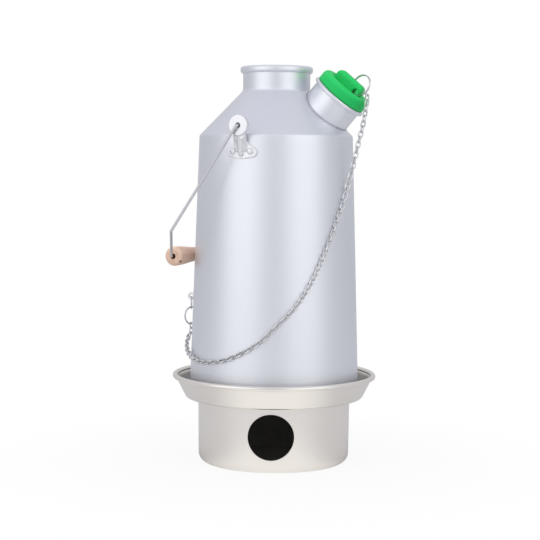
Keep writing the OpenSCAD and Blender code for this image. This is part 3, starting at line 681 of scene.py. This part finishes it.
def repeat(tree, points, thing):
    """Nodes that set a thing on every point, turned by the point's directions."""
    turn = node(tree, "FunctionNodeAxesToRotation", primary_axis="X", secondary_axis="Z")
    for title, socket in (("ahead", 0), ("facing", 1)):
        read = node(tree, "GeometryNodeInputNamedAttribute", data_type="FLOAT_VECTOR")
        read.inputs["Name"].default_value = title
        tree.links.new(read.outputs["Attribute"], turn.inputs[socket])
    copies = node(tree, "GeometryNodeInstanceOnPoints")
    tree.links.new(points, copies.inputs["Points"])
    tree.links.new(thing, copies.inputs["Instance"])
    tree.links.new(turn.outputs["Rotation"], copies.inputs["Rotation"])
    return copies.outputs["Instances"]


rivets, given = group_with("Rivets", [
    ("Head width", "NodeSocketFloat"), ("Head height", "NodeSocketFloat"),
    ("Material", "NodeSocketMaterial"),
])
ball = node(rivets, "GeometryNodeMeshUVSphere")
ball.inputs["Segments"].default_value = 32
ball.inputs["Rings"].default_value = 16
ball.inputs["Radius"].default_value = 1.0
shape = node(rivets, "ShaderNodeCombineXYZ")
half_width = math_node(rivets, "MULTIPLY", given["Head width"], 0.5)
rivets.links.new(half_width, shape.inputs["X"])
rivets.links.new(half_width, shape.inputs["Y"])
rivets.links.new(given["Head height"], shape.inputs["Z"])
dome = node(rivets, "GeometryNodeTransform")
rivets.links.new(ball.outputs["Mesh"], dome.inputs["Geometry"])
rivets.links.new(shape.outputs["Vector"], dome.inputs["Scale"])
close_group(rivets, repeat(rivets, given["Geometry"], dome.outputs["Geometry"]), given["Material"])


def around(turn, radius, h):
    """A point at a turn from the front, towards the spout, and a height above the kettle's foot."""
    return Vector((radius * sin(radians(turn)), -radius * cos(radians(turn)), FOOT_Z + h))


def rivet_spot(turn, h):
    """Place and directions of a rivet head on a plate that lies on the wall."""
    out = around(turn, 1, 0) - Vector((0, 0, FOOT_Z))
    facing = (out + Vector((0, 0, (FOOT_R - SHOULDER_R) / WALL_H))).normalized()
    level = Vector((cos(radians(turn)), sin(radians(turn)), 0))
    return around(turn, wall_r(h), h) + RIVET_SEAT * facing, level, facing


ear_h = PIVOT_H - EAR_DROP
ear_turn = degrees(asin(EAR_RIVET_GAP / 2 / wall_r(ear_h)))
groups = {
    "ear_front_rivets": [(-ear_turn, ear_h), (ear_turn, ear_h)],
    "ear_rear_rivets": [(180 - ear_turn, ear_h), (180 + ear_turn, ear_h)],
    "lug_rivets": [(-LUG_TURN, LUG_H + rise) for rise in RIVET_LUG_RISES],
}
for name, where in groups.items():
    heads = spots(name + "_heads", [rivet_spot(*w) for w in where])
    run_group(heads, rivets, {
        "Head width": RIVET_D * MM, "Head height": RIVET_RISE * MM, "Material": cast_metal,
    })
    place(heads, "kettle", "body_aluminium", cast_metal, name)

# %% [markdown]
# ## The bail and its grip
# The bail is one steel wire. Its ends are bent inwards through the ears and flattened so that they can't
# slip out. The wooden grip was drilled and threaded on before the last bend. It hangs against the jacket, so
# its distance from the axis is found by a few repeats of the same sum. The mouth of its hole is countersunk,
# and the hole's points carry the attribute that paints shade into it.

# %% Bail and grip
grip_x = FOOT_R
for _ in range(5):
    grip_x = wall_r(PIVOT_H - sqrt(BAIL_LEN ** 2 - grip_x ** 2)) + GRIP_WAIST / 2 + GRIP_GAP
hang = asin(grip_x / BAIL_LEN)


def in_bail(u, v):
    """A point of the bail's plane: u along the pivot, v from the pivot to the grip."""
    return Vector((-v * sin(hang), u, FOOT_Z + PIVOT_H - v * cos(hang)))


leg = EYE_Y + EAR_T / 2 + WIRE_BEND
pin = EYE_Y - EAR_T / 2 - PIN_REACH
lead = GRIP_L / 2 + WIRE_BEND
bend = WIRE_BEND
wire = rounded([
    [-pin, 0], [-leg, 0, bend], [-leg, BAIL_BEND, bend], [-lead, BAIL_LEN, bend],
    [lead, BAIL_LEN, bend], [leg, BAIL_BEND, bend], [leg, 0, bend], [pin, 0],
])
bail = tube("bail_wire", [in_bail(*p) for p in wire], WIRE_D / 2, sides=16)
place(bail, "bail", "steel_wire", wire_metal, "bail")
for side, name in ((-1, "front"), (1, "rear")):
    ends = [in_bail(side * pin, 0), in_bail(side * (pin + PIN_HEAD_T), 0)]
    head = tube("bail_end_" + name, ends, PIN_HEAD_D / 2, sides=24)
    place(head, "bail", "steel_wire", wire_metal)

half, straight = GRIP_L / 2, GRIP_L / 2 - GRIP_CORNER
side_line = [
    Vector(((GRIP_WAIST + (GRIP_END - GRIP_WAIST) * sin(pi / 2 * abs(t)) ** 2) / 2, t * straight))
    for t in np.linspace(-1, 1, 41)
]
low_end = arc((GRIP_END / 2 - GRIP_CORNER, -straight), GRIP_CORNER, -90, 0)
high_end = arc((GRIP_END / 2 - GRIP_CORNER, straight), GRIP_CORNER, 0, 90)
edge = Vector((MOUTH_D / 2 + MOUTH_EDGE, half))
skin = [Vector((edge.x, -edge.y))] + low_end[:-1] + side_line + high_end[1:] + [edge]
mouth = [Vector((MOUTH_D / 2, half)), Vector((GRIP_BORE / 2, half - MOUTH_DEEP))]
bore = mouth + [Vector((p.x, -p.y)) for p in mouth[::-1]]
grip_axis = in_bail(0, BAIL_LEN)
knot = grip_axis - Vector((0, half, 0)) + Vector(KNOT_PLACE)
beech = wood("turned beech", (0.82, 0.575, 0.435), (0.70, 0.47, 0.345), MM * knot)
# the hole's points get full painted shade
hole_shade = [0.0] * len(skin) + [1.0] * len(bore)
grip = turned("turned_grip", skin + bore, beech, painted_shade=hole_shade, steps=64)
grip.data.transform(Matrix.Translation(MM * grip_axis) @ Matrix.Rotation(-pi / 2, 4, "X"))
place(grip, "grip", "wood", beech, "grip")
print("the bail hangs %.1f degrees from upright" % degrees(hang))

# %% [markdown]
# ## The rings
# The stopper's split ring is spring wire: two turns side by side with one sideways step, like a key ring.
# The small ring hangs in the lug and the larger one hangs in it. Neighbouring rings are turned apart, because
# two rings can't link while they lie flat on each other.


# %% Rings
def ease(t):
    """0 to 1 with soft ends."""
    t = max(0.0, min(1.0, t))
    return t * t * (3 - 2 * t)


SPLIT_D, SPLIT_WIRE, SPLIT_LEAN, CAP_GAP = 19.4, 1.1, radians(30), 0.1
HOLE_DOWN, HOLE_ACROSS, COIL_PITCH = 0.34 * BAR_L, 0.2 * BAR_W, 0.92 * SPLIT_WIRE
COIL_START, COIL_TURN, COIL_STEP, CROSS_START, CROSS_TURN = 60, 688, 4, 300, 80
ring_out = cos(SPLIT_LEAN) * down - sin(SPLIT_LEAN) * across
bar_top = SPOUT_ROLL + CAP_GAP + CAP_T + BAR_RISE
ring_centre = spout_rim + HOLE_DOWN * down - HOLE_ACROSS * across + bar_top * along
ring_axis = ring_out.cross(along)
path = []
for angle in range(0, COIL_TURN + 1, COIL_STEP):
    step = COIL_PITCH * (ease((angle - CROSS_START) / CROSS_TURN) - 0.5)
    a = radians(angle + COIL_START)
    path.append(ring_centre + SPLIT_D / 2 * (cos(a) * ring_out + sin(a) * along) + step * ring_axis)
split_ring = tube("coiled_ring", path, SPLIT_WIRE / 2)
place(split_ring, "stopper", "steel_wire", wire_metal, "split_ring")


def flat_ring(name, h, lean, mean_d, wire_d, solid):
    """A ring that hangs under the lug, turned by lean about the upright."""
    centre = around(-LUG_TURN, wall_r(LUG_H) + LUG_REACH, h)
    level = Vector((cos(radians(lean - LUG_TURN)), sin(radians(lean - LUG_TURN)), 0))
    turns = [2 * pi * k / 64 for k in range(64)]
    line = [centre + mean_d / 2 * (cos(a) * level + sin(a) * upright) for a in turns]
    return place(tube(name, line, wire_d / 2, closed=True), "kettle", "steel_wire", wire_metal, solid)


HOOK_GAP, SMALL_D, SMALL_WIRE, SMALL_LEAN = 0.14, 11.0, 1.2, 20
LARGE_D, LARGE_WIRE, LARGE_LEAN = 15.6, 1.4, 30
small_h = LUG_H - LUG_HOLE / 2 + SMALL_WIRE / 2 + HOOK_GAP - SMALL_D / 2
large_h = small_h - SMALL_D / 2 + (SMALL_WIRE + LARGE_WIRE) / 2 + HOOK_GAP - LARGE_D / 2
flat_ring("small_ring", small_h, SMALL_LEAN, SMALL_D, SMALL_WIRE, "lug_ring")
flat_ring("large_ring", large_h, -LARGE_LEAN, LARGE_D, LARGE_WIRE, "end_ring")

# %% [markdown]
# ## The keeper chain
# The chain's line is given as a list: a turn round the kettle, a distance off the wall and a height as a
# share of the way from its lower to its upper end. A smooth curve runs through those places, and links are
# set along it at their own spacing. Every link is turned a right angle from the one before, and the ends are
# turned so that they hook the rings.

# %% Chain line
LINK_L, LINK_W, LINK_WIRE, HOOK_LEAD, HOOK_ANGLE = 7.4, 5.0, 1.25, 6.0, radians(12)
CURVE_STEPS, COIL_ROOM, LINK_EASE = 8, 0.2, 0.22
route = [
    (88, 18.5, 0.913), (88, 16, 0.860), (87.5, 12.5, 0.799), (87, 9, 0.733), (86, 5.6, 0.666),
    (83.5, 3, 0.604), (79, 2.3, 0.542), (71, 2.3, 0.456), (62.5, 2.3, 0.361), (54, 2.3, 0.261),
    (45, 2.3, 0.171), (36, 2.3, 0.100), (26, 2.3, 0.039), (15.5, 2.3, -0.024), (4, 2.3, -0.071),
    (-8, 2.3, -0.104), (-20, 2.3, -0.121), (-32, 2.3, -0.126), (-44, 2.6, -0.119), (-56, 3.4, -0.102),
    (-67, 4.6, -0.078), (-75, 5.2, -0.056),
]
hook_way = cos(HOOK_ANGLE) * ring_out - sin(HOOK_ANGLE) * along
hook_wire = sin(HOOK_ANGLE) * ring_out + cos(HOOK_ANGLE) * along
hook_start = ring_centre + SPLIT_D / 2 * hook_way
hook_end = around(-LUG_TURN, wall_r(LUG_H) + LUG_REACH, large_h - LARGE_D / 2)
low, span = hook_end.z - FOOT_Z, hook_start.z - hook_end.z
knots = [hook_start, hook_start + HOOK_LEAD * hook_way]
knots += [around(turn, wall_r(low + share * span) + off, low + share * span) for turn, off, share in route]
knots += [hook_end - HOOK_LEAD * upright, hook_end]
knots = np.array(knots)
padded = np.vstack([knots[:1], knots, knots[-1:]])
curve = []
for i in range(len(knots) - 1):
    a, b, c, d = padded[i:i + 4]
    square, cube = 2 * a - 5 * b + 4 * c - d, 3 * b - a - 3 * c + d
    for t in np.arange(CURVE_STEPS) / CURVE_STEPS:
        curve.append(0.5 * (2 * b + (c - a) * t + square * t ** 2 + cube * t ** 3))
curve = np.array(curve + [knots[-1]])
reach = np.concatenate([[0], np.cumsum(np.linalg.norm(np.diff(curve, axis=0), axis=1))])


def on_chain(s):
    """The point at a length along the chain's line, held to the line's ends."""
    return Vector([np.interp(s, reach, curve[:, k]) for k in range(3)])


link_reach = (LINK_L - LINK_WIRE) / 2
first = link_reach - (LINK_WIRE + SPLIT_WIRE) / 2 - HOOK_GAP - COIL_ROOM
last = link_reach - (LINK_WIRE + LARGE_WIRE) / 2 - HOOK_GAP
links = round((reach[-1] - first - last) / (LINK_L - 2 * LINK_WIRE - LINK_EASE)) + 1
pitch = (reach[-1] - first - last) / (links - 1)
print("chain line %.1f mm, %d links at %.2f mm" % (reach[-1], links, pitch))

# %% [markdown]
# ## Links in Geometry Nodes
# A link is a rectangle of wire whose corners are rounded until its ends are almost half circles. The group
# draws one link from its length, width and wire, and repeats it on the points of the chain's line.

# %% Chain links
NEAR_HALF = 0.499
chain_rule, given = group_with("Chain", [
    ("Link length", "NodeSocketFloat"), ("Link width", "NodeSocketFloat"), ("Wire", "NodeSocketFloat"),
    ("Material", "NodeSocketMaterial"),
])
box_line = node(chain_rule, "GeometryNodeCurvePrimitiveQuadrilateral", mode="RECTANGLE")
mean_w = math_node(chain_rule, "SUBTRACT", given["Link width"], given["Wire"])
mean_l = math_node(chain_rule, "SUBTRACT", given["Link length"], given["Wire"])
chain_rule.links.new(mean_l, box_line.inputs["Width"])
chain_rule.links.new(mean_w, box_line.inputs["Height"])
bends = node(chain_rule, "GeometryNodeFilletCurve")
bends.mode = "POLY"
bends.inputs["Count"].default_value = 6
chain_rule.links.new(box_line.outputs["Curve"], bends.inputs["Curve"])
chain_rule.links.new(math_node(chain_rule, "MULTIPLY", mean_w, NEAR_HALF), bends.inputs["Radius"])
section = node(chain_rule, "GeometryNodeCurvePrimitiveCircle", mode="RADIUS")
section.inputs["Resolution"].default_value = 10
chain_rule.links.new(math_node(chain_rule, "MULTIPLY", given["Wire"], 0.5), section.inputs["Radius"])
link = node(chain_rule, "GeometryNodeCurveToMesh")
chain_rule.links.new(bends.outputs["Curve"], link.inputs["Curve"])
chain_rule.links.new(section.outputs["Curve"], link.inputs["Profile Curve"])
close_group(chain_rule, repeat(chain_rule, given["Geometry"], link.outputs["Mesh"]), given["Material"])


def square_to(p, way):
    """The level direction from the axis to a point, set square to a way."""
    out = Vector((p.x, p.y, 0))
    return (out - out.dot(way) * way).normalized()


hook_lift = square_to(hook_start, hook_way)
start_twist = degrees(atan2(-hook_wire.dot(hook_lift), hook_wire.dot(hook_way.cross(hook_lift)))) % 180 - 90
end_twist = (0 if links % 2 == 0 else 90) - LARGE_LEAN
twist_links, half_turn = 10, 45
places = []
for i in range(links):
    s = first + i * pitch
    middle = on_chain(s)
    ahead = (on_chain(s + pitch / 2) - on_chain(s - pitch / 2)).normalized()
    lift = square_to(middle, ahead)
    twist = start_twist + (half_turn - start_twist) * ease(i / twist_links)
    twist += (end_twist - half_turn) * ease((i - (links - 1 - twist_links)) / twist_links)
    roll = radians(90 + 90 * i + twist)
    edge = cos(roll) * lift + sin(roll) * ahead.cross(lift)
    places.append((middle, ahead, ahead.cross(edge)))
chain = spots("keeper_chain", places)
run_group(chain, chain_rule, {
    "Link length": LINK_L * MM, "Link width": LINK_W * MM, "Wire": LINK_WIRE * MM, "Material": chain_metal,
})
chain.data.materials.clear()
chain.data.materials.append(chain_metal)
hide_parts("chain_hanging", "chain_side", "chain_front", "chain_tail")
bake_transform(chain)
chain.data.calc_loop_triangles()
print(chain.name, "bends between kettle and stopper:", len(chain.data.loop_triangles), "triangles")

# %% [markdown]
# ## Studio
# The picture is a plain studio shot: a pale floor that runs out to white, a large soft panel on either side
# of the camera, a panel overhead and a room whose ceiling is brighter than its walls. On a satin cylinder
# each side panel becomes one bright upright band. The overhead panel lights the top but doesn't show in the
# metal. The camera stands low and far away with a long lens, so the kettle's edges stay almost parallel.


# %% Studio
def look_from(position, target):
    """A matrix at a position, facing a target, with z up."""
    turn = (Vector(target) - Vector(position)).to_track_quat("-Z", "Y")
    return Matrix.Translation(position) @ turn.to_matrix().to_4x4()


def panel(name, azimuth, distance, height, width, tall, power):
    """A soft panel that faces the kettle; azimuth is in degrees, from the front towards the spout."""
    light = bpy.data.lights.new(name, "AREA")
    light.shape = "RECTANGLE"
    light.size, light.size_y, light.energy = width, tall, power
    obj = add_object(name, light)
    a = radians(azimuth)
    obj.matrix_world = look_from((distance * sin(a), -distance * cos(a), height), (0, 0, 0.2))
    return obj


def shown_white(tree, plain_shader, white_shader, out, to_camera, in_metal):
    """Mix a white over a plain look: by one share for camera rays, by another for what metal shows."""
    seen = tree.nodes.new("ShaderNodeLightPath")
    glossy, through = seen.outputs["Is Glossy Ray"], seen.outputs["Is Transmission Ray"]
    mirrored = math_node(tree, "MULTIPLY", math_node(tree, "MAXIMUM", glossy, through), in_metal)
    straight = math_node(tree, "MULTIPLY", seen.outputs["Is Camera Ray"], to_camera)
    mix = tree.nodes.new("ShaderNodeMixShader")
    tree.links.new(math_node(tree, "MAXIMUM", straight, mirrored), mix.inputs["Fac"])
    tree.links.new(plain_shader, mix.inputs[1])
    tree.links.new(white_shader, mix.inputs[2])
    tree.links.new(mix.outputs["Shader"], out.inputs["Surface"])


def floor_finish():
    """A floor that runs out to white and keeps a shadow; in the metal it is white only in front."""
    mat, tree, shader = material("pale floor", (0.64, 0.64, 0.64), metallic=0.0, roughness=0.9)
    white = tree.nodes.new("ShaderNodeEmission")
    to_camera = by_distance(tree, (0, 0, 0), near=0.08, far=0.32, at_near=0.92, at_far=1.0)
    in_metal = by_distance(tree, (0.055, -0.12, 0), near=0.05, far=0.16, at_near=1.0, at_far=0.04)
    out = tree.nodes["Material Output"]
    shown_white(tree, shader.outputs["BSDF"], white.outputs["Emission"], out, to_camera, in_metal)
    return mat


FLOOR = 6000
corners = [(-FLOOR, -FLOOR, 0), (FLOOR, -FLOOR, 0), (FLOOR, FLOOR, 0), (-FLOOR, FLOOR, 0)]
floor = add_mesh("floor", corners, faces=[(0, 1, 2, 3)])
floor.data.materials.append(floor_finish())
panel("left panel", azimuth=-22, distance=1.3, height=0.55, width=1.35, tall=1.5, power=4.2)
panel("right panel", azimuth=66, distance=1.3, height=0.55, width=1.25, tall=1.5, power=3.7)
top = panel("top panel", azimuth=25, distance=0.6, height=1.8, width=1.5, tall=1.5, power=12)
top.visible_glossy = False

world = bpy.data.worlds.new("room")
world.use_nodes = True
bpy.context.scene.world = world
tree = world.node_tree
room = tree.nodes["Background"]
where = tree.nodes.new("ShaderNodeTexCoord")
split = tree.nodes.new("ShaderNodeSeparateXYZ")
tree.links.new(where.outputs["Generated"], split.inputs["Vector"])
shades = tree.nodes.new("ShaderNodeValToRGB")
walls, ceiling = shades.color_ramp.elements
walls.position, walls.color = 0.15, (0.565, 0.57, 0.605, 1)
ceiling.position, ceiling.color = 0.85, (0.72, 0.73, 0.80, 1)
tree.links.new(split.outputs["Z"], shades.inputs["Fac"])
tree.links.new(shades.outputs["Color"], room.inputs["Color"])
white = tree.nodes.new("ShaderNodeBackground")
white.inputs["Color"].default_value = (1, 1, 1, 1)
out = tree.nodes["World Output"]
shown_white(tree, room.outputs["Background"], white.outputs["Background"], out, to_camera=1.0, in_metal=0.1)

camera = add_object("camera", bpy.data.cameras.new("camera"))
CAMERA_PLACE, CAMERA_SHIFT = (0.57265, -1.22805, 0.271), -5 / 540
camera.data.lens = 100
camera.data.sensor_width = 36
camera.data.shift_x = CAMERA_SHIFT
azimuth, pitch_down, lean = radians(25), radians(4.11), radians(0.52)
level = Vector((-sin(azimuth), cos(azimuth), 0))
ahead = level * cos(pitch_down) - Vector((0, 0, sin(pitch_down)))
right = Vector((cos(azimuth), sin(azimuth), 0))
up = right.cross(ahead)
right, up = right * cos(lean) + up * sin(lean), up * cos(lean) - right * sin(lean)
turn = Matrix((right, up, -ahead)).transposed().to_4x4()
camera.matrix_world = Matrix.Translation(CAMERA_PLACE) @ turn
bpy.context.scene.camera = camera
bpy.context.scene.view_settings.view_transform = "Standard"
print("camera at", [round(c, 3) for c in camera.matrix_world.translation])
